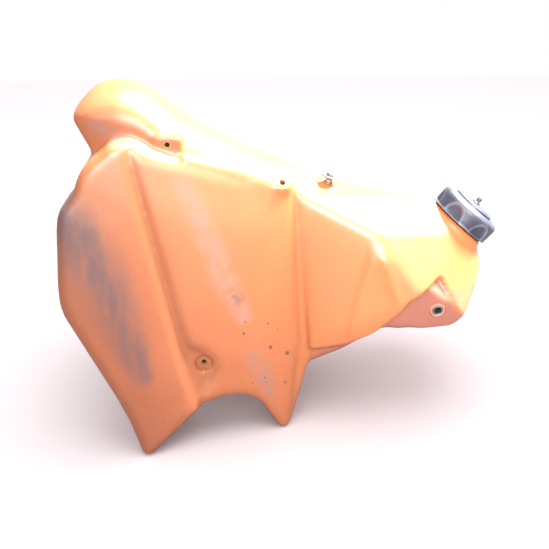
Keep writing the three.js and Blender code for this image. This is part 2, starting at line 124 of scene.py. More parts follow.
# A web behind the wing's front edge, set back from the outer face.
WEB = [(-14, 6), (4, 8), (19, 60), (25, 112), (-14, 112)]
WEB_BACK = 8
WEB_ROUND = 6
WING_ROUND = 10           # rounding between a wing's face and its rim
WING_CROWN = 1.6          # how far the middle of a wing's face bulges,
CROWN_REACH = 60          # and how far from the rim it gets there
WING_INSET = 0.8

# Grooves pressed into a wing's face: outline, depth and how wide their sides are.
GROOVE_REAR = [
    (-170, 366), (-164, 323), (-112, 45), (-96, 24), (-84, 38), (-99, 58), (-87, 75), (-81, 89),
    (-84, 103), (-95, 117), (-111, 126), (-117, 142), (-154, 320), (-159, 366),
]
GROOVE_FRONT = [(-3, 312), (8.5, 95), (8.5, 50), (22, 50), (22, 96), (8.5, 312)]
GROOVES = ((GROOVE_REAR, 5.4, 7.5), (GROOVE_FRONT, 3.8, 5))

POCKET = [(166, 185), (146, 175), (130, 157), (105, 131), (94, 108), (214, 108), (198, 126), (189, 143)]
POCKET_FACE = 80
NOSE_FACET = ((0.426, 0.639, 0.64), 230.5)
NOSE_RECESS = 2.5

# The front panel is flat, as a normal and an offset. Its lower edge folds inwards along a line in XZ.
PANEL = ((-0.2275, 0.9565, 0.1825), 84.66)
FOLD_X = [21, 63, 96, 116, 130, 145]
FOLD_Z = [97, 105, 123, 144, 165, 173]
FOLD_STEP = 6
LIP_HEIGHT, LIP_WIDTH, LIP_ABOVE = 1.1, 3.5, 3
# A pressed crease runs up the panel, with a softer crest ahead of it: heights z and places x.
CREASE_Z, CREASE_X = [112, 160, 217], [62, 70, 86]
CREASE_HEIGHT, CREASE_FADE = 3.2, 24
CREST_Z, CREST_X = [150, 165, 221], [124, 118, 96]
CREST_HEIGHT, CREST_WIDTH = 2.2, 6

NECK = {"point": (204, 0, 223), "lean": 39, "radius": 30, "bore": 25, "rim": 15.5, "collar": 35.5,
        "collar_top": -1.5, "root": -26, "platform": 36, "platform_at": -9, "shaft_end": -75}
STUD = {"point": (46.5, 0, 272.5), "lean": 17, "boss": 9}
TAP_POINT = (-125, 50, 100)
TAP_SCREW_AT, TAP_HOLE = 19, 8
INSERTS = {
    "wing_insert": ((-98, 96, 99), (0, 1, 0)),
    "tail_insert_rear": ((-124.7, 54.5, 335), (0, 1, 0)),
    "tail_insert_front": ((-8, 43, 289.5), (0, 0.5, 0.866)),
}
INSERT_HOLE = {"lip": 1.5, "mouth": 3.6, "radius": 5.5, "end": 15.2}
FRONT_MOUNT = ((165, POCKET_FACE, 149), (0, 1, 0))
MOUNT_HOLE, MOUNT_HOLE_DEPTH, MOUNT_BOSS = 9.1, 15, 13
BOSS, BOSS_DEPTH = 9.5, 20
REAR_PAD = {"half_x": 9, "half_z": 5, "round": 5}
# The shelf beside the tail falls forward; a low bar lies on it, and a spine runs on from the tail's end.
SHELF = {"x": -68, "z": 306, "fall": 0.34}
BAR = {"x": -79, "half_length": 31, "inside": 2.5, "half_height": 3, "above": 1.5}
SPINE_X, SPINE_Z = [-40, 4, 12, 31, 40], [309, 291, 288, 276, 268]

# How far each rounding of the skin reaches.
FRONT_BLUR, BODY_BLUR, FEATURE_BLUR = 4.0, 2.2, 2.1
FILLET = {"tail": 3.5, "front": 5, "groove": 4, "pocket": 3, "feature": 4, "collar": 5, "neck": 2,
          "counterbore": 1.5}


# ---------------------------------------------------------------- fields of signed distance
def smooth_min(a, b, reach):
    """The nearer of two fields, with a fillet where they meet."""
    blend = np.maximum(reach - np.abs(a - b), 0) / reach
    return np.minimum(a, b) - blend * blend * reach / 4


def smooth_max(a, b, reach):
    return -smooth_min(-a, -b, reach)


def smooth_step(low, high, value):
    t = np.clip((value - low) / (high - low), 0, 1)
    return t * t * (3 - 2 * t)


def outline_distance(outline, x, z):
    """Signed distance to a closed outline in the plane, negative inside."""
    nearest = np.full(np.broadcast(x, z).shape, np.inf)
    inside = np.zeros(nearest.shape, bool)
    for (x0, z0), (x1, z1) in zip(outline, outline[1:] + outline[:1]):
        along_x, along_z = x1 - x0, z1 - z0
        from_x, from_z = x - x0, z - z0
        t = np.clip((from_x * along_x + from_z * along_z) / (along_x ** 2 + along_z ** 2), 0, 1)
        nearest = np.minimum(nearest, (from_x - t * along_x) ** 2 + (from_z - t * along_z) ** 2)
        if along_z:
            inside ^= ((z0 > z) != (z1 > z)) & (from_x < along_x * from_z / along_z)
    return np.where(inside, -1, 1) * np.sqrt(nearest)


def hull_distance(points, x, y, z):
    """Largest distance above the faces of the points' convex hull."""
    hull = bmesh.new()
    for point in points:
        hull.verts.new(point)
    bmesh.ops.convex_hull(hull, input=hull.verts)
    far = None
    for face in hull.faces:
        face.normal_update()
        normal = face.normal
        above = normal.x * x + normal.y * y + normal.z * z - normal.dot(face.verts[0].co)
        far = above if far is None else np.maximum(far, above)
    hull.free()
    return far


def rod_distance(point, axis, radius, low, high, x, y, z):
    """A round rod about an axis through a point, between two heights along it."""
    direction = Vector(axis).normalized()
    dx, dy, dz = x - point[0], y - point[1], z - point[2]
    along = dx * direction.x + dy * direction.y + dz * direction.z
    across = np.sqrt(np.maximum(dx * dx + dy * dy + dz * dz - along * along, 0))
    return np.maximum(across - radius, np.maximum(low - along, along - high))


def eased(x, places, values, reach):
    """Linear interpolation with its corners rounded over a reach along x."""
    shifts = np.linspace(-reach, reach, 9)
    weights = np.cos(shifts / reach * math.pi / 2) ** 2
    total = sum(w * np.interp(x + s, places, values) for s, w in zip(shifts, weights))
    return total / weights.sum()


def grid_axes(start, step, shape):
    """The x, y and z of a grid's points, ready to be combined."""
    for axis in range(3):
        sides = [-1 if axis == other else 1 for other in range(3)]
        yield (start[axis] + step * np.arange(shape[axis])).reshape(sides)


def blurred(field, sigma, step):
    """The field averaged over its surroundings, which rounds every edge and leaves flat faces alone."""
    reach = int(math.ceil(2.5 * sigma / step))
    weights = np.exp(-0.5 * (np.arange(-reach, reach + 1) * step / sigma) ** 2)
    weights /= weights.sum()
    for axis in range(3):
        widths = [(reach, reach) if a == axis else (0, 0) for a in range(3)]
        wide = np.moveaxis(np.pad(field, widths, mode="edge"), axis, 0)
        count = field.shape[axis]
        field = np.moveaxis(sum(w * wide[i:i + count] for i, w in enumerate(weights)), 0, axis)
    return field.astype(np.float32)


def read_field(field, cells):
    """The field's value between grid points, and its slope."""
    base = np.clip(np.floor(cells).astype(int), 0, np.array(field.shape) - 2)
    part = cells - base
    value = np.zeros(len(cells))
    slope = np.zeros((len(cells), 3))
    for corner in np.ndindex(2, 2, 2):
        here = field[tuple((base + corner).T)]
        sides = np.where(corner, part, 1 - part)
        value += here * sides.prod(axis=1)
        for axis in range(3):
            others = [a for a in range(3) if a != axis]
            sign = 1 if corner[axis] else -1
            slope[:, axis] += sign * here * sides[:, others[0]] * sides[:, others[1]]
    return value, slope


def meshed(name, field, start, step, to_world):
    """A closed mesh of the field's zero surface, its points drawn onto the surface."""
    grid = openvdb.FloatGrid(float(field.max()))
    grid.copyFromArray(field.astype(np.float32))
    cells, _, quads = grid.convertToPolygons(isovalue=0.0)
    cells = cells.astype(np.float64)
    for _ in range(4):
        value, slope = read_field(field, cells)
        steep = np.maximum((slope ** 2).sum(axis=1), 1e-3)
        move = slope * (value / steep)[:, None]
        cells -= np.clip(move, -0.3, 0.3)
    points = np.array(start) + cells * step
    mesh = bpy.data.meshes.new(name)
    mesh.from_pydata([to_world(point) for point in points.tolist()], [], quads[:, ::-1].tolist())
    mesh.validate()
    mesh.update()
    return mesh


def add_object(name, mesh):
    made = bpy.data.objects.new(name, mesh)
    bpy.context.scene.collection.objects.link(made)
    return made


def leaning(degrees):
    angle = math.radians(degrees)
    return (math.sin(angle), 0, math.cos(angle))


NECK_AXIS = leaning(NECK["lean"])
STUD_AXIS = leaning(STUD["lean"])


# ---------------------------------------------------------------- the tank's skin
def wing_face(x, y, z):
    return (y - FACE_HALF - FACE_PER_X * x - FACE_PER_Z * z) / FACE_SLANT


def tunnel_distance(x, y, z):
    slope = (TUNNEL_FRONT[1] - TUNNEL_REAR[1]) / (TUNNEL_FRONT[0] - TUNNEL_REAR[0])
    below = (TUNNEL_REAR[1] + slope * (x - TUNNEL_REAR[0]) - z) / math.sqrt(1 + slope ** 2)
    return np.maximum(y - TUNNEL_HALF - TUNNEL_FLARE * np.maximum(below, 0), -below)


def wings(x, y, z):
    outline = outline_distance(WING_OUTLINE, x, z)
    crown = WING_CROWN * smooth_step(0, CROWN_REACH, -outline)
    web = smooth_max(outline_distance(WEB, x, z), wing_face(x, y, z) + WEB_BACK, WEB_ROUND)
    wing = smooth_max(outline, wing_face(x, y, z) - crown + WING_INSET, WING_ROUND)
    return smooth_min(wing, web, 3)


def tail(x, y, z):
    crest, half, drop, base = (eased(x, TAIL[:, 0], TAIL[:, i], TAIL_EASE) for i in range(1, 5))
    across = np.clip(y / half, 0, 1)
    top = crest - drop * (1 - np.sqrt(np.maximum(1 - across ** ARCH_POWER, 0)))
    arch = np.maximum((z - top) * 0.75, y - half)
    ends = np.maximum(np.maximum(TAIL_REAR - x, x - TAIL_FRONT), (base - z) * 0.6)
    cut_x, cut_z, fall = TAIL_CUT
    lower_rear = (cut_z - fall * (x - cut_x) - z) / math.hypot(1, fall)
    return np.maximum(np.maximum(arch, ends), lower_rear)


def panel_relief(x, y, z):
    """How far the front panel's skin is raised (or folded in, below zero) from its flat face."""
    ahead = x - eased(z, CREASE_Z, CREASE_X, 14)
    rise = smooth_step(-2.5, 2.5, ahead) * np.exp(-(np.maximum(ahead, 0) / CREASE_FADE) ** 2)
    crest = np.exp(-((x - eased(z, CREST_Z, CREST_X, 10)) / CREST_WIDTH) ** 2)
    pressed = CREASE_HEIGHT * rise + CREST_HEIGHT * crest
    pressed = pressed * smooth_step(100, 126, z) * smooth_step(230, 205, z)
    fold = eased(x, FOLD_X, FOLD_Z, 8)
    lip = np.exp(-((z - fold - LIP_ABOVE) / LIP_WIDTH) ** 2) * smooth_step(150, 130, x)
    folded = smooth_step(1.5, -3, z - fold) * smooth_step(152, 138, x)
    (nx, ny, nz), offset = PANEL
    near_panel = smooth_step(-26, -12, nx * x + ny * y + nz * z - offset)
    region = near_panel * smooth_step(21, 26, x) * smooth_step(28, 40, y)
    return region * (pressed + LIP_HEIGHT * lip - FOLD_STEP * folded)


def front(x, y, z):
    frame_x = Vector(NECK_AXIS).orthogonal().normalized()
    frame_y = Vector(NECK_AXIS).cross(frame_x)
    middle = Vector(NECK["point"]) + Vector(NECK_AXIS) * NECK["platform_at"]
    points = [Vector(p) for p in FRONT_POINTS] + [Vector((p[0], -p[1], p[2])) for p in FRONT_POINTS]
    for i in range(16):
        angle = i / 8 * math.pi
        points.append(middle + (frame_x * math.cos(angle) + frame_y * math.sin(angle)) * NECK["platform"])
    body = hull_distance(points, x, y, z)
    under = outline_distance(FRONT_UNDERCUT + [(300, -200), (-10, -200)], x, z)
    return np.maximum(body, -under)


def details(x, y, z):
    """Raised features: bosses, the pads round the threaded inserts and the bar on the shelf."""
    raised = [rod_distance(STUD["point"], STUD_AXIS, STUD["boss"], -BOSS_DEPTH, 0, x, y, z)]
    for name in ("wing_insert", "tail_insert_front"):
        raised.append(rod_distance(*INSERTS[name], BOSS, -BOSS_DEPTH, 0, x, y, z))
    px, py, pz = INSERTS["tail_insert_rear"][0]
    beside = np.maximum(abs(x - px - 1) - REAR_PAD["half_x"], 0)
    above = np.maximum(abs(z - pz + 1) - REAR_PAD["half_z"], 0)
    pad = np.hypot(beside, above) - REAR_PAD["round"]
    raised.append(np.maximum(pad, np.maximum(y - py + 0.3, 20 - y)))
    raised.append(rod_distance(*FRONT_MOUNT, MOUNT_BOSS, -BOSS_DEPTH, 0, x, y, z))
    shelf = SHELF["z"] - SHELF["fall"] * (x - SHELF["x"])
    bar = np.maximum(abs(x - BAR["x"]) - BAR["half_length"], wing_face(x, y, z) + BAR["inside"])
    bar = np.maximum(bar, 40 - y)
    raised.append(np.maximum(bar, abs(z - shelf - BAR["above"]) - BAR["half_height"]))
    spine = abs(z - eased(x, SPINE_X, SPINE_Z, 4) + 8) - 8
    raised.append(np.maximum(np.maximum(-20 - x, x - 33), np.maximum(y - 9, spine)))
    return raised


def neck_rod(radius, low, high, x, y, z):
    return rod_distance(NECK["point"], NECK_AXIS, radius, low, high, x, y, z)


def skin_field():
    """The tank's outside, worked out on the left half and mirrored about the middle plane."""
    start = np.array([-262.5, 1.25, -17.5])
    shape = (212, 64, 170)
    x, y, z = grid_axes(start, SKIN_STEP, shape)

    def mirrored(half):
        half = np.broadcast_to(half, shape)
        return np.concatenate([half[:, ::-1], half], axis=1).astype(np.float32)

    front_part = blurred(mirrored(front(x, y, z)), FRONT_BLUR, SKIN_STEP)
    body = smooth_min(mirrored(wings(x, y, z)), mirrored(tail(x, y, z)), FILLET["tail"])
    body = smooth_min(body, front_part, FILLET["front"])
    body = np.maximum(body, -mirrored(tunnel_distance(x, y, z)))
    body = blurred(body, BODY_BLUR, SKIN_STEP) - mirrored(panel_relief(x, y, z))
    face = mirrored(wing_face(x, y, z))
    for outline, deep, ramp in GROOVES:
        edge = outline_distance(outline, x, z)
        depth = deep * smooth_step(0, ramp, -edge)
        groove = np.minimum(mirrored(-edge), face + mirrored(depth))
        body = smooth_max(body, groove, FILLET["groove"])
    (nx, ny, nz), offset = NOSE_FACET
    recessed = nx * x + ny * y + nz * z - offset + NOSE_RECESS
    pocket = np.maximum(outline_distance(POCKET, x, z), np.minimum(POCKET_FACE - y, -recessed))
    body = smooth_max(body, -mirrored(pocket), FILLET["pocket"])
    for feature in details(x, y, z):
        body = smooth_min(body, mirrored(feature), FILLET["feature"])
    collar = neck_rod(NECK["collar"], NECK["root"], NECK["collar_top"], x, y, z)
    body = smooth_min(body, mirrored(collar), FILLET["collar"])
    body = blurred(body, FEATURE_BLUR, SKIN_STEP)
    tube = neck_rod(NECK["radius"], NECK["root"], NECK["rim"], x, y, z)
    bore = neck_rod(NECK["bore"], NECK["shaft_end"], 60, x, y, z)
    counterbore = rod_distance(*INSERTS["wing_insert"], BOSS, 0, 30, x, y, z)
    solid = smooth_min(body, mirrored(tube), FILLET["neck"])
    solid = np.maximum(solid, -mirrored(bore))
    solid = smooth_max(solid, -mirrored(counterbore), FILLET["counterbore"])
    start[1] -= SKIN_STEP * shape[1]
    return solid, start


def to_metres(point):
    return ((point[0] - CENTRE_X) * MM, point[1] * MM, point[2] * MM)


# ---------------------------------------------------------------- mesh tools, in metres
def placed(point, axis):
    """The matrix of a frame at a point in mm whose +Z looks along an axis."""
    turn = Vector((0, 0, 1)).rotation_difference(Vector(axis)).to_matrix().to_4x4()
    return Matrix.Translation(to_metres(point)) @ turn


def smooth(mesh, degrees):
    for polygon in mesh.polygons:
        polygon.use_smooth = True
    mesh.set_sharp_from_angle(angle=math.radians(degrees))


def turned(name, profile, matrix, sides=64):
    """A solid of revolution from a closed list of (radius, height) in mm."""
    made = bmesh.new()
    rings = []
    for i in range(sides):
        angle = 2 * math.pi * i / sides
        corner = [
            made.verts.new(matrix @ Vector((r * MM * math.cos(angle), r * MM * math.sin(angle), h * MM)))
            for r, h in profile
        ]
        rings.append(corner)
    for here, after in zip(rings, rings[1:] + rings[:1]):
        for i in range(len(profile)):
            j = (i + 1) % len(profile)
            made.faces.new((here[i], after[i], after[j], here[j]))
    bmesh.ops.remove_doubles(made, verts=made.verts, dist=1e-6)
    bmesh.ops.recalc_face_normals(made, faces=made.faces)
    mesh = bpy.data.meshes.new(name)
    made.to_mesh(mesh)
    made.free()
    smooth(mesh, 32)
    return add_object(name, mesh)


def rod(name, radius, low, high, matrix, sides=48):
    """A plain round cutter."""
    made = bmesh.new()
    bmesh.ops.create_cone(
        made, cap_ends=True, segments=sides, radius1=radius * MM, radius2=radius * MM,
        depth=(high - low) * MM, matrix=matrix @ Matrix.Translation((0, 0, (low + high) / 2 * MM)),
    )
    mesh = bpy.data.meshes.new(name)
    made.to_mesh(mesh)
    made.free()
    return add_object(name, mesh)


def cut(target, cutters):
    """Takes the cutters out of the target and throws them away."""
    for cutter in cutters:
        change = target.modifiers.new("cut", "BOOLEAN")
        change.object = cutter
        change.operation = "DIFFERENCE"
        change.solver = "MANIFOLD"
    graph = bpy.context.evaluated_depsgraph_get()
    result = bpy.data.meshes.new_from_object(target.evaluated_get(graph))
    target.modifiers.clear()
    target.data = result
    for cutter in cutters:
        bpy.data.objects.remove(cutter)


def swept_rib(name, radius, height, turns, pitch, half_width, from_height, matrix, steps=120):
    """A thread: a rounded ridge wound round +Z, fading into the wall at both ends."""
    made = bmesh.new()
    rings = []
    for i in range(steps + 1):
        t = i / steps
        angle = 2 * math.pi * turns * t
        rise = height * min(1, 8 * t, 8 * (1 - t)) + 0.05
        middle = from_height + pitch * turns * t
        crest = half_width * 0.45
        section = [(-1, -half_width), (rise, -crest), (rise, crest), (-1, half_width)]
        rings.append([
            made.verts.new(matrix @ Vector((
                (radius + out) * MM * math.cos(angle), (radius + out) * MM * math.sin(angle),
                (middle + up) * MM,
            ))) for out, up in section
        ])
    for here, after in zip(rings, rings[1:]):
        for i in range(4):
            j = (i + 1) % 4
            made.faces.new((here[i], after[i], after[j], here[j]))
    made.faces.new(rings[0])
    made.faces.new(reversed(rings[-1]))
    bmesh.ops.recalc_face_normals(made, faces=made.faces)
    mesh = bpy.data.meshes.new(name)
    made.to_mesh(mesh)
    made.free()
    smooth(mesh, 30)
    return add_object(name, mesh)


def stands_for(piece, body, slot, *nodes):
    if nodes:
        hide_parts(*nodes)
    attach(piece, body)


# ---------------------------------------------------------------- build the tank
SIDES = {"right": -1, "left": 1}


def side_frame(place, side):
    (px, py, pz), (ax, ay, az) = place
    return placed((px, side * py, pz), (ax, side * ay, az))


def hole_cutters():
    """Holes for the threaded inserts, the front bushes and the fuel tap."""
    cutters = []
    places = [placed(STUD["point"], STUD_AXIS)]
    tap = placed(TAP_POINT, (0, -1, 0))
    for end in (-1, 1):
        places.append(tap @ Matrix.Translation((0, end * TAP_SCREW_AT * MM, 0)))
    for side in SIDES.values():
        places += [side_frame(place, side) for place in INSERTS.values()]
        mount = side_frame(FRONT_MOUNT, side)
        cutters.append(rod("cutter", MOUNT_HOLE, -MOUNT_HOLE_DEPTH, 9, mount))
    lip, mouth, wide, end = (INSERT_HOLE[key] for key in ("lip", "mouth", "radius", "end"))
    profile = [(0, -end), (wide, -end), (wide, -lip), (mouth, -lip), (mouth, 12), (0, 12)]
    for matrix in places:
        cutters.append(turned("cutter", profile, matrix, 32))
    cutters.append(rod("cutter", TAP_HOLE, -34, 3, tap))
    return cutters


field, start = skin_field()
skin = add_object("tank_skin", meshed("tank_skin", field, start, SKIN_STEP, to_metres))
cut(skin, hole_cutters())
smooth(skin.data, 38)
stands_for(skin, "tank", "shell", "tank_shell")

neck_place = placed(NECK["point"], NECK_AXIS)
thread = swept_rib("neck_thread", 30, 1.8, 2.2, 4, 1.3, 3.2, neck_place)
stands_for(thread, "tank", "shell")


# ---------------------------------------------------------------- filler cap
CAP_STEP = 0.7            # grid of the cap's body
CAP_RADIUS, CAP_BORE = 38, 32.4
CAP_LOBES = 6
CAP_GRIP_RADIUS = 30
CAP_GRIP_DEPTH = 4.6
CAP_GRIP_TALL = 1.1       # how much taller than round a grip is
CAP_GRIP_AWAY = CAP_RADIUS - CAP_GRIP_DEPTH + CAP_GRIP_RADIUS
CAP_FIRST_GRIP = math.radians(45)
CAP_FOOT = {"radius": 38.2, "middle": 0.7, "half": 0.9}
CAP_PROFILE = [
    (CAP_BORE, -0.2), (38.3, -0.2), (38.3, 1.3), (37.7, 1.9), (38, 6), (38, 16.4), (37.2, 19.6),
    (34.6, 21.9), (26.6, 24.2), (25.3, 23.2), (25.3, 22), (4.1, 22), (4.1, 19.2), (CAP_BORE, 19.2),
]
RADIUS_STEP, RADIUS_END = 0.25, 60


def grip_depth(x, y, z):
    """How deep a point lies inside the nearest of the hollows scooped from the cap's side."""
    deepest = -np.inf
    for i in range(CAP_LOBES):
        angle = CAP_FIRST_GRIP + i / CAP_LOBES * 2 * math.pi
        grip_x, grip_y = CAP_GRIP_AWAY * math.cos(angle), CAP_GRIP_AWAY * math.sin(angle)
        squared = (x - grip_x) ** 2 + (y - grip_y) ** 2 + (z / CAP_GRIP_TALL) ** 2
        deepest = np.maximum(deepest, CAP_GRIP_RADIUS - np.sqrt(squared))
    return deepest


def cap_field():
    """The cap's body: a turned section with its grips scooped out and a whole ring at its foot."""
    start = np.array([-40.6, -40.6, -3.5])
    shape = (117, 117, 43)
    x, y, z = grid_axes(start, CAP_STEP, shape)
    radius = np.hypot(x, y)
    radii = np.arange(0, RADIUS_END, RADIUS_STEP)
    section = outline_distance(CAP_PROFILE, radii[:, None], z.reshape(1, -1))
    cells = np.clip(radius / RADIUS_STEP, 0, len(radii) - 2)[:, :, 0]
    low = cells.astype(int)
    part = (cells - low)[:, :, None]
    body = section[low] * (1 - part) + section[low + 1] * part
    body = smooth_max(body, grip_depth(x, y, z), 0.5)
    foot = np.maximum(radius - CAP_FOOT["radius"], CAP_BORE - radius)
    foot = np.maximum(foot, abs(z - CAP_FOOT["middle"]) - CAP_FOOT["half"])
    return blurred(smooth_min(body, foot, 0.5), 0.4, CAP_STEP), start


def on_neck(point):
    return neck_place @ Vector((point[0] * MM, point[1] * MM, point[2] * MM))


field, start = cap_field()
cap = add_object("cap_body", meshed("cap_body", field, start, CAP_STEP, on_neck))
smooth(cap.data, 40)
stands_for(cap, "cap", "black_plastic", "cap_shell")

disc = turned("cap_disc", [
    (4.1, 22.3), (25, 22.3), (25, 24.9), (24.7, 25.7), (23.6, 26.3), (21.2, 26.9), (20.8, 26.5),
    (20.4, 26.5), (20, 27.1), (16, 27.7), (10, 28), (4.1, 28),
], neck_place, 96)
stands_for(disc, "cap", "black_plastic", "cap_top_disc")
nipple = turned("cap_vent_nipple", [
    (1.4, 16.4), (7, 16.4), (7, 18.9), (3.8, 18.9), (3.8, 28.2), (4.6, 28.2), (4.6, 29), (4.2, 29.4),
    (2.6, 29.9), (2.4, 31.8), (3.1, 32.2), (3.1, 32.6), (2.5, 34.4), (2.2, 35), (1.4, 35),
], neck_place, 40)
stands_for(nipple, "cap", "black_plastic", "cap_nipple")


# ---------------------------------------------------------------- seat stud and front bushes
stud_place = placed(STUD["point"], STUD_AXIS)
collar = turned("stud_spool", [
    (3.2, 0.3), (5.6, 0.3), (5.6, 1.6), (5.2, 2), (4.2, 2.4), (3.9, 3), (3.9, 5), (4.2, 5.8), (5, 6.6),
    (5, 7.2), (4.8, 7.4), (3.2, 7.4),
], stud_place, 40)
stands_for(collar, "tank", "steel", "stud_collar")
washer = turned("stud_disc", [
    (3.2, 7.7), (9.4, 7.7), (9.8, 8), (9.8, 8.8), (9.5, 9.2), (3.2, 9.2),
], stud_place, 56)
stands_for(washer, "tank", "steel", "stud_washer")


def hexagon_bolt(name, shank, flats, low, seat, top, matrix):
    """A bolt's chamfered head and its shank; flats is the size across the head's flats."""
    corner = flats / math.sqrt(3)
    head = turned(name, [(0, seat), (corner, seat), (corner, top), (0, top)], matrix, 6)
    chamfer = turned("cutter", [
        (flats * 0.46, top + 0.1), (flats * 0.8, top - 1.6), (flats * 0.8, top + 1),
        (flats * 0.46, top + 1),
    ], matrix, 48)
    cut(head, [chamfer])
    end = seat - 0.02
    stem = turned(name + "_shank", [
        (0, low), (shank - 0.4, low), (shank, low + 0.5), (shank, end), (0, end),
    ], matrix, 32)
    smooth(head.data, 20)
    return head, stem


head, shank = hexagon_bolt("stud_bolt_head", 2.3, 9, -11, 9.5, 12.6, stud_place)
stands_for(head, "tank", "steel", "stud_bolt")
stands_for(shank, "tank", "steel")

for side_name, side in SIDES.items():
    here = side_frame(FRONT_MOUNT, side)
    grommet = turned("grommet_" + side_name, [
        (6.3, -11.7), (8.8, -11.7), (8.8, 0.2), (8.5, 0.9), (8, 1.2), (6.8, 1.2), (6.3, 0.8),
    ], here, 56)
    stands_for(grommet, "tank", "grommet", "front_grommet_" + side_name)
    bush = turned("bush_" + side_name, [
        (4.2, -11.7), (6, -11.7), (6, 1.4), (5.7, 1.8), (4.5, 1.8), (4.2, 1.5),
    ], here, 56)
    stands_for(bush, "tank", "steel", "front_bush_" + side_name)


# ---------------------------------------------------------------- marks of use point by point, with painted light, shade and highlights
# Chains of (x, z, reach) in mm on the wing faces and the tail.
SMEAR = {
    -1: [(-226, 290, 24), (-214, 262, 32), (-205, 232, 32), (-194, 203, 28), (-183, 168, 23),
         (-171, 130, 19), (-163, 100, 13)],
    1: [(-215, 232, 18), (-196, 188, 22), (-176, 132, 15)],
}
SCUFF = {
    -1: [(-112, 300, 9), (-100, 275, 13), (-88, 242, 14), (-74, 200, 15), (-64, 176, 15), (-52, 148, 10)],
    1: [(-60, 262, 12), (-74, 216, 15), (-92, 168, 12)],
}
GRAZE = {
    -1: [(-44, 104, 10), (-36, 88, 14), (-27, 66, 11), (-24, 46, 8)],
    1: [(-28, 118, 9), (-40, 92, 10)],
}
SMUDGE = {-1: [(-192, 356, 9), (-180, 348, 9), (-166, 341, 6)], 1: [(-150, 352, 9), (-172, 346, 8)]}
GOUGE = {-1: [(-64, 178, 6), (-57, 170, 8)], 1: [(-88, 172, 6), (-82, 164, 6)]}
# Each kind of mark with the distance from the middle plane where it starts.
MARKS = (("smear", SMEAR, 60), ("scuff", SCUFF, 40), ("graze", GRAZE, 40), ("smudge", SMUDGE, 30),
         ("gouge", GOUGE, 40))
SPECKS = [(-51, 143, 1.5), (-26, 137, 1.6), (-53, 130, 2), (-23, 108, 2.4), (-3.5, 97, 2.8), (-6, 61, 1.9),
          (-65.5, 245, 1), (-36, 158, 1.2), (-15, 128, 1), (-30, 72, 1.3), (-44, 68, 1.1)]


def chain_nearness(chain, x, z):
    """1 on the chain of round spots, falling to 0 at their reach."""
    near = np.zeros(len(x))
    for (x0, z0, r0), (x1, z1, r1) in zip(chain, chain[1:]):
        dx, dz = x1 - x0, z1 - z0
        t = np.clip(((x - x0) * dx + (z - z0) * dz) / (dx * dx + dz * dz), 0, 1)
        reach = r0 + (r1 - r0) * t
        away = np.hypot(x - x0 - t * dx, z - z0 - t * dz) / reach
        near = np.maximum(near, 1 - smooth_step(0.15, 1.35, away))
    return near


def write_mark(mesh, name, value):
    layer = mesh.attributes.new(name, "FLOAT", "POINT")
    layer.data.foreach_set("value", value.astype(np.float32))


def paint_marks(mesh):
    """Writes where each mark lies, the painted shade in the pocket and under the fold, and a painted light
    ramp that darkens the shell low at the rear and lightens it towards the front and top.
    """
    points = np.empty(len(mesh.vertices) * 3, np.float32)
    mesh.vertices.foreach_get("co", points)
    x, y, z = (points.reshape(-1, 3) / MM).T
    x = x + CENTRE_X
    for name, chains, limit in MARKS:
        value = np.zeros(len(x))
        for side, chain in chains.items():
            value = np.where(side * y > limit, chain_nearness(chain, x, z), value)
        write_mark(mesh, name, value)
    # Painted shade: darker, pinker colour in the pocket and under the fold, where shade falls.
    recess = smooth_step(2, -4, outline_distance(POCKET, x, z)) * smooth_step(60, 68, abs(y))
    fold = np.interp(x, FOLD_X, FOLD_Z)
    folded = smooth_step(0, -5, z - fold) * smooth_step(22, 40, x) * smooth_step(40, 60, abs(y))
    write_mark(mesh, "recess_shade", np.maximum(recess, 0.6 * folded))
    # Painted light: the shell is darker low at the rear and lighter towards the front and top, as the
    # light falls.
    write_mark(mesh, "painted_light_ramp", smooth_step(-0.16, 0.34, (x + 0.7 * z) * MM))


paint_marks(skin.data)


def paint_cap_rim_highlight(mesh):
    """Painted highlight: paler plastic along the rims of the grips and round the cap's foot, where the
    edges catch the light.
    """
    back = np.array(neck_place.inverted())
    points = np.empty(len(mesh.vertices) * 3, np.float32)
    mesh.vertices.foreach_get("co", points)
    local = (points.reshape(-1, 3) @ back[:3, :3].T + back[:3, 3]) / MM
    x, y, z = local.T
    rim = 0.35 * np.exp(-((grip_depth(x, y, z) + 0.3) / 0.6) ** 2)
    outside = smooth_step(36.2, 37.2, np.hypot(x, y))
    foot = np.exp(-((z - 1.5) / 0.6) ** 2)
    write_mark(mesh, "rim", outside * np.maximum(rim, 0.4 * foot))


paint_cap_rim_highlight(cap.data)


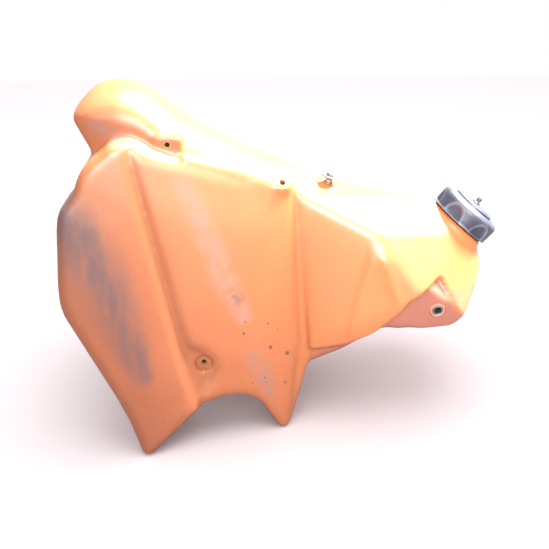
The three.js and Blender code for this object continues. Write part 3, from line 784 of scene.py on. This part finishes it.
# ---------------------------------------------------------------- materials
class Nodes:
    """A short way to write a material's node tree."""

    def __init__(self, name):
        self.material = bpy.data.materials.new(name)
        self.material.use_nodes = True
        self.tree = self.material.node_tree
        self.shader = self.tree.nodes["Principled BSDF"]
        self.position = self.add("ShaderNodeTexCoord").outputs["Object"]

    def add(self, kind, **settings):
        node = self.tree.nodes.new(kind)
        for key, value in settings.items():
            setattr(node, key, value)
        return node

    def link(self, source, target):
        if isinstance(source, (int, float)):
            target.default_value = source
        else:
            self.tree.links.new(source, target)

    def math(self, operation, a, b=0.0, clamp=False):
        node = self.add("ShaderNodeMath", operation=operation, use_clamp=clamp)
        self.link(a, node.inputs[0])
        self.link(b, node.inputs[1])
        return node.outputs[0]

    def scaled(self, scale):
        node = self.add("ShaderNodeMapping")
        node.inputs["Scale"].default_value = scale
        self.link(self.position, node.inputs["Vector"])
        return node.outputs[0]

    def noise(self, scale, detail=3.0, rough=0.5, stretch=(1, 1, 1)):
        node = self.add("ShaderNodeTexNoise")
        self.link(self.scaled(stretch), node.inputs["Vector"])
        node.inputs["Scale"].default_value = scale
        node.inputs["Detail"].default_value = detail
        node.inputs["Roughness"].default_value = rough
        return node.outputs["Fac"]

    def ramp(self, source, low, high, to_low=0.0, to_high=1.0):
        node = self.add("ShaderNodeMapRange", interpolation_type="SMOOTHSTEP")
        self.link(source, node.inputs["Value"])
        for key, value in (("From Min", low), ("From Max", high), ("To Min", to_low), ("To Max", to_high)):
            node.inputs[key].default_value = value
        return node.outputs[0]

    def mark(self, name):
        return self.add("ShaderNodeAttribute", attribute_name=name).outputs["Fac"]

    def mix(self, factor, first, second):
        node = self.add("ShaderNodeMix", data_type="RGBA")
        self.link(factor, node.inputs["Factor"])
        for value, target in ((first, node.inputs["A"]), (second, node.inputs["B"])):
            if isinstance(value, tuple):
                target.default_value = (*value, 1)
            else:
                self.link(value, target)
        return node.outputs["Result"]

    def bump(self, height, strength, distance=0.001):
        node = self.add("ShaderNodeBump")
        node.inputs["Strength"].default_value = strength
        node.inputs["Distance"].default_value = distance
        self.link(height, node.inputs["Height"])
        self.tree.links.new(node.outputs["Normal"], self.shader.inputs["Normal"])

    def speck(self, place, reach):
        node = self.add("ShaderNodeVectorMath", operation="DISTANCE")
        self.link(self.position, node.inputs[0])
        node.inputs[1].default_value = place
        return self.ramp(node.outputs["Value"], reach * 0.6, reach * 1.2, 1.0, 0.0)


def shell_material():
    n = Nodes("moulded_shell")
    broad = n.noise(7, 3)
    fine = n.noise(260, 4, 0.6)
    streaks = n.noise(60, 4, 0.6, (0.9, 0.3, 0.22))
    scratches = n.ramp(n.noise(46, 6, 0.75, (3.2, 1, 0.35)), 0.66, 0.74)
    # Painted light: a shaded tone low at the rear and a lit tone towards the front and top.
    shaded_tone = n.mix(n.ramp(broad, 0.3, 0.7), (0.160, 0.044, 0.018), (0.185, 0.054, 0.022))
    lit_tone = n.mix(n.ramp(broad, 0.3, 0.7), (0.36, 0.112, 0.036), (0.40, 0.128, 0.044))
    colour = n.mix(n.mark("painted_light_ramp"), shaded_tone, lit_tone)
    # Painted shade in the pocket and under the fold.
    colour = n.mix(n.math("MULTIPLY", n.mark("recess_shade"), 0.8), colour, (0.175, 0.066, 0.056))
    colour = n.mix(n.ramp(fine, 0.35, 0.75, 0, 0.05), colour, (0.46, 0.18, 0.08))
    colour = n.mix(n.math("MULTIPLY", scratches, 0.16), colour, (0.52, 0.27, 0.15))
    smear = n.math("MULTIPLY", n.mark("smear"), n.ramp(streaks, 0.30, 0.62, 0.35, 1.0))
    colour = n.mix(n.math("MULTIPLY", smear, 0.88), colour, (0.062, 0.037, 0.042))
    scuff = n.math("MULTIPLY", n.mark("scuff"), n.ramp(n.noise(90, 5, 0.65), 0.34, 0.62, 0.3, 1.0))
    colour = n.mix(n.math("MULTIPLY", scuff, 0.5), colour, (0.170, 0.105, 0.100))
    gouge = n.math("MULTIPLY", n.mark("gouge"), n.ramp(n.noise(190, 5, 0.7), 0.36, 0.56))
    colour = n.mix(n.math("MULTIPLY", gouge, 0.8), colour, (0.12, 0.052, 0.042))
    graze = n.math("MULTIPLY", n.mark("graze"), n.ramp(n.noise(240, 5, 0.75), 0.42, 0.60))
    colour = n.mix(n.math("MULTIPLY", graze, 0.75), colour, (0.125, 0.090, 0.090))
    smudge = n.math("MULTIPLY", n.mark("smudge"), n.ramp(n.noise(150, 5, 0.7), 0.35, 0.62))
    colour = n.mix(n.math("MULTIPLY", smudge, 0.7), colour, (0.19, 0.115, 0.11))
    specks = 0.0
    for x, z, reach in SPECKS:
        half = FACE_HALF + FACE_PER_X * x + FACE_PER_Z * z
        specks = n.math("MAXIMUM", specks, n.speck(to_metres((x, -half, z)), reach * MM))
    colour = n.mix(n.math("MULTIPLY", specks, 0.85), colour, (0.04, 0.026, 0.03))
    n.link(colour, n.shader.inputs["Base Color"])
    dull = n.math("ADD", n.math("MULTIPLY", scuff, 0.2), n.math("MULTIPLY", fine, 0.14))
    n.link(n.math("ADD", dull, 0.34), n.shader.inputs["Roughness"])
    n.shader.inputs["Subsurface Weight"].default_value = 0.12
    n.shader.inputs["Subsurface Radius"].default_value = (1.0, 0.35, 0.12)
    n.shader.inputs["Subsurface Scale"].default_value = 0.004
    height = n.math("ADD", n.math("MULTIPLY", fine, 0.5), n.math("MULTIPLY", scratches, -0.6))
    n.bump(height, 0.12, 0.0006)
    return n.material


def plastic_material(name, dark, light, roughness):
    n = Nodes(name)
    grain = n.noise(900, 3, 0.6)
    dust = n.noise(60, 4, 0.6)
    colour = n.mix(n.ramp(dust, 0.35, 0.7), dark, light)
    # Painted highlight: paler plastic along the cap's grip rims and round its foot.
    rim_highlight = n.math("MULTIPLY", n.mark("rim"), n.ramp(dust, 0.2, 0.6, 0.5, 1.0))
    n.link(n.mix(rim_highlight, colour, (0.24, 0.24, 0.29)), n.shader.inputs["Base Color"])
    n.link(n.math("ADD", n.math("MULTIPLY", dust, 0.15), roughness), n.shader.inputs["Roughness"])
    n.bump(grain, 0.25, 0.0003)
    return n.material


def metal_material(name, bright, dull, roughness):
    n = Nodes(name)
    wear = n.noise(160, 5, 0.65)
    n.link(n.mix(n.ramp(wear, 0.35, 0.68), bright, dull), n.shader.inputs["Base Color"])
    n.link(n.math("ADD", n.math("MULTIPLY", wear, 0.3), roughness), n.shader.inputs["Roughness"])
    n.shader.inputs["Metallic"].default_value = 1.0
    n.bump(n.noise(1400, 2, 0.5), 0.12, 0.0002)
    return n.material


def strainer_material():
    n = Nodes("strainer_mesh")
    weave = n.add("ShaderNodeTexVoronoi", feature="DISTANCE_TO_EDGE")
    n.link(n.scaled((1, 1, 1)), weave.inputs["Vector"])
    weave.inputs["Scale"].default_value = 1500
    lines = n.ramp(weave.outputs["Distance"], 0.02, 0.2)
    n.link(n.mix(lines, (0.82, 0.80, 0.72), (0.36, 0.35, 0.32)), n.shader.inputs["Base Color"])
    n.shader.inputs["Roughness"].default_value = 0.6
    n.bump(lines, -0.4, 0.0003)
    return n.material


MATERIALS = {
    "shell": shell_material(),
    "black_plastic": plastic_material(
        "black_moulding", (0.018, 0.021, 0.038), (0.034, 0.038, 0.062), 0.40),
    "rubber": plastic_material("rubber", (0.018, 0.018, 0.018), (0.04, 0.038, 0.036), 0.7),
    "grommet": plastic_material("grommet_rubber", (0.26, 0.115, 0.085), (0.36, 0.16, 0.11), 0.6),
    "brass": metal_material("tarnished_brass", (0.62, 0.45, 0.20), (0.30, 0.20, 0.10), 0.3),
    "steel": metal_material("zinc_steel", (0.30, 0.28, 0.28), (0.16, 0.15, 0.15), 0.34),
    "alloy": metal_material("cast_alloy", (0.62, 0.62, 0.64), (0.44, 0.44, 0.45), 0.42),
    "strainer": strainer_material(),
}

for subpart in frame["record"]["subparts"]:
    node = frame["nodes"][subpart["node"]]
    node.data.materials.clear()
    node.data.materials.append(MATERIALS[subpart["material_slot"]])
for piece, slot in (
    (skin, "shell"), (thread, "shell"), (cap, "black_plastic"), (disc, "black_plastic"),
    (nipple, "black_plastic"), (collar, "steel"), (washer, "steel"), (head, "steel"), (shank, "steel"),
):
    piece.data.materials.clear()
    piece.data.materials.append(MATERIALS[slot])
for side_name in SIDES:
    bpy.data.objects["grommet_" + side_name].data.materials.append(MATERIALS["grommet"])
    bpy.data.objects["bush_" + side_name].data.materials.append(MATERIALS["steel"])


# ---------------------------------------------------------------- stage and light
def add_floor():
    mesh = bpy.data.meshes.new("floor")
    size = 2
    corners = [(-size, -size, 0), (size, -size, 0), (size, size, 0), (-size, size, 0)]
    mesh.from_pydata(corners, [], [(0, 1, 2, 3)])
    floor = add_object("floor", mesh)
    n = Nodes("floor")
    n.link(n.mix(n.noise(3), (0.93, 0.84, 0.87), (0.95, 0.86, 0.89)), n.shader.inputs["Base Color"])
    n.shader.inputs["Roughness"].default_value = 0.8
    floor.data.materials.append(n.material)
    floor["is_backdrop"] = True


def add_light(name, kind, at, aim, power, colour, **settings):
    data = bpy.data.lights.new(name, kind)
    data.energy = power
    data.color = colour
    for key, value in settings.items():
        setattr(data, key, value)
    light = bpy.data.objects.new(name, data)
    light.location = at
    light.rotation_euler = (Vector(aim) - Vector(at)).to_track_quat("-Z", "Y").to_euler()
    bpy.context.scene.collection.objects.link(light)
    return light


add_floor()
# The key and the fill reach the tank only, so that the floor stays softly lit.
lit = bpy.data.collections.new("lit_by_key")
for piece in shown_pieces():
    lit.objects.link(piece)
key = add_light("key", "SUN", (1.1, 0.5, 1.8), (0, 0, 0.2), 44.0, (1.0, 0.97, 0.90),
                angle=math.radians(22))
fill = add_light("fill", "SPOT", (0.05, -0.95, 0.75), (0.10, -0.08, 0.22), 150, (1.0, 0.96, 0.90),
                 spot_size=math.radians(58), spot_blend=1.0, shadow_soft_size=0.2)
for light in (key, fill):
    light.light_linking.receiver_collection = lit
add_light("over", "AREA", (0.10, -0.10, 2.2), (0, 0, 0), 20, (1.0, 1.0, 1.0), shape="DISK", size=1.6)
world = bpy.data.worlds.new("world")
world.use_nodes = True
world.node_tree.nodes["Background"].inputs["Color"].default_value = (1, 1, 1, 1)
world.node_tree.nodes["Background"].inputs["Strength"].default_value = 1.0
bpy.context.scene.world = world
bpy.context.scene.view_settings.view_transform = "Standard"
